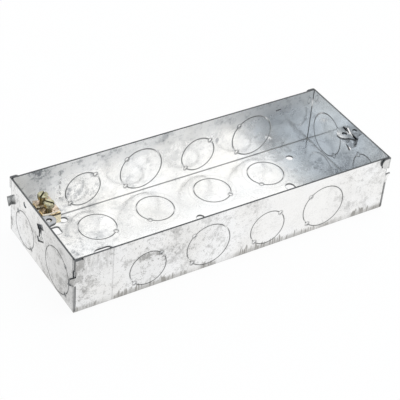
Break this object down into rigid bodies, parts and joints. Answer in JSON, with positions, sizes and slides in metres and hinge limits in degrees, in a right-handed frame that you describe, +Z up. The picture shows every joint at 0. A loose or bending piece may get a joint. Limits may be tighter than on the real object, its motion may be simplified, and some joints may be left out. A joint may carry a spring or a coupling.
{
  "type": "flush back box",
  "caption": "Shallow flush back box for wiring accessories, folded from galvanised sheet, with knockouts, faceplate lugs and a brass earth terminal.",
  "frame": {"origin": "middle of the underside of the base", "axes": "+X along the length of the box, towards the end with the adjustable lug; +Y across its width, towards the wall beside the knockouts of the base; +Z up, out of its open side"},
  "size_m": [0.194, 0.0738, 0.035],
  "materials": {
    "galvanised_sheet": "bright galvanised sheet with a faint spangle and sheared edges",
    "plated_steel": "bright zinc plate",
    "brass": "bright unlacquered brass"
  },
  "bodies": {
    "box": {"box_shell": "galvanised_sheet", "fixed_lug": "plated_steel", "earth_bracket": "brass", "front_saddle": "brass", "rear_saddle": "brass"},
    "adjustable_lug": {"adjustable_lug": "plated_steel", "lug_stud": "plated_steel"},
    "front_screw": {"front_terminal_screw": "brass"},
    "rear_screw": {"rear_terminal_screw": "brass"}
  },
  "joints": [
    {"name": "lug_height", "type": "slide", "parent": "box", "child": "adjustable_lug", "axis": [0, 0, 1], "range_m": [-0.0036, 0.0028]},
    {"name": "front_screw_travel", "type": "slide", "parent": "box", "child": "front_screw", "axis": [0, 0, 1], "range_m": [-0.0026, 0.0024]},
    {"name": "rear_screw_travel", "type": "slide", "parent": "box", "child": "rear_screw", "axis": [0, 0, 1], "range_m": [-0.0026, 0.0024]}
  ]
}
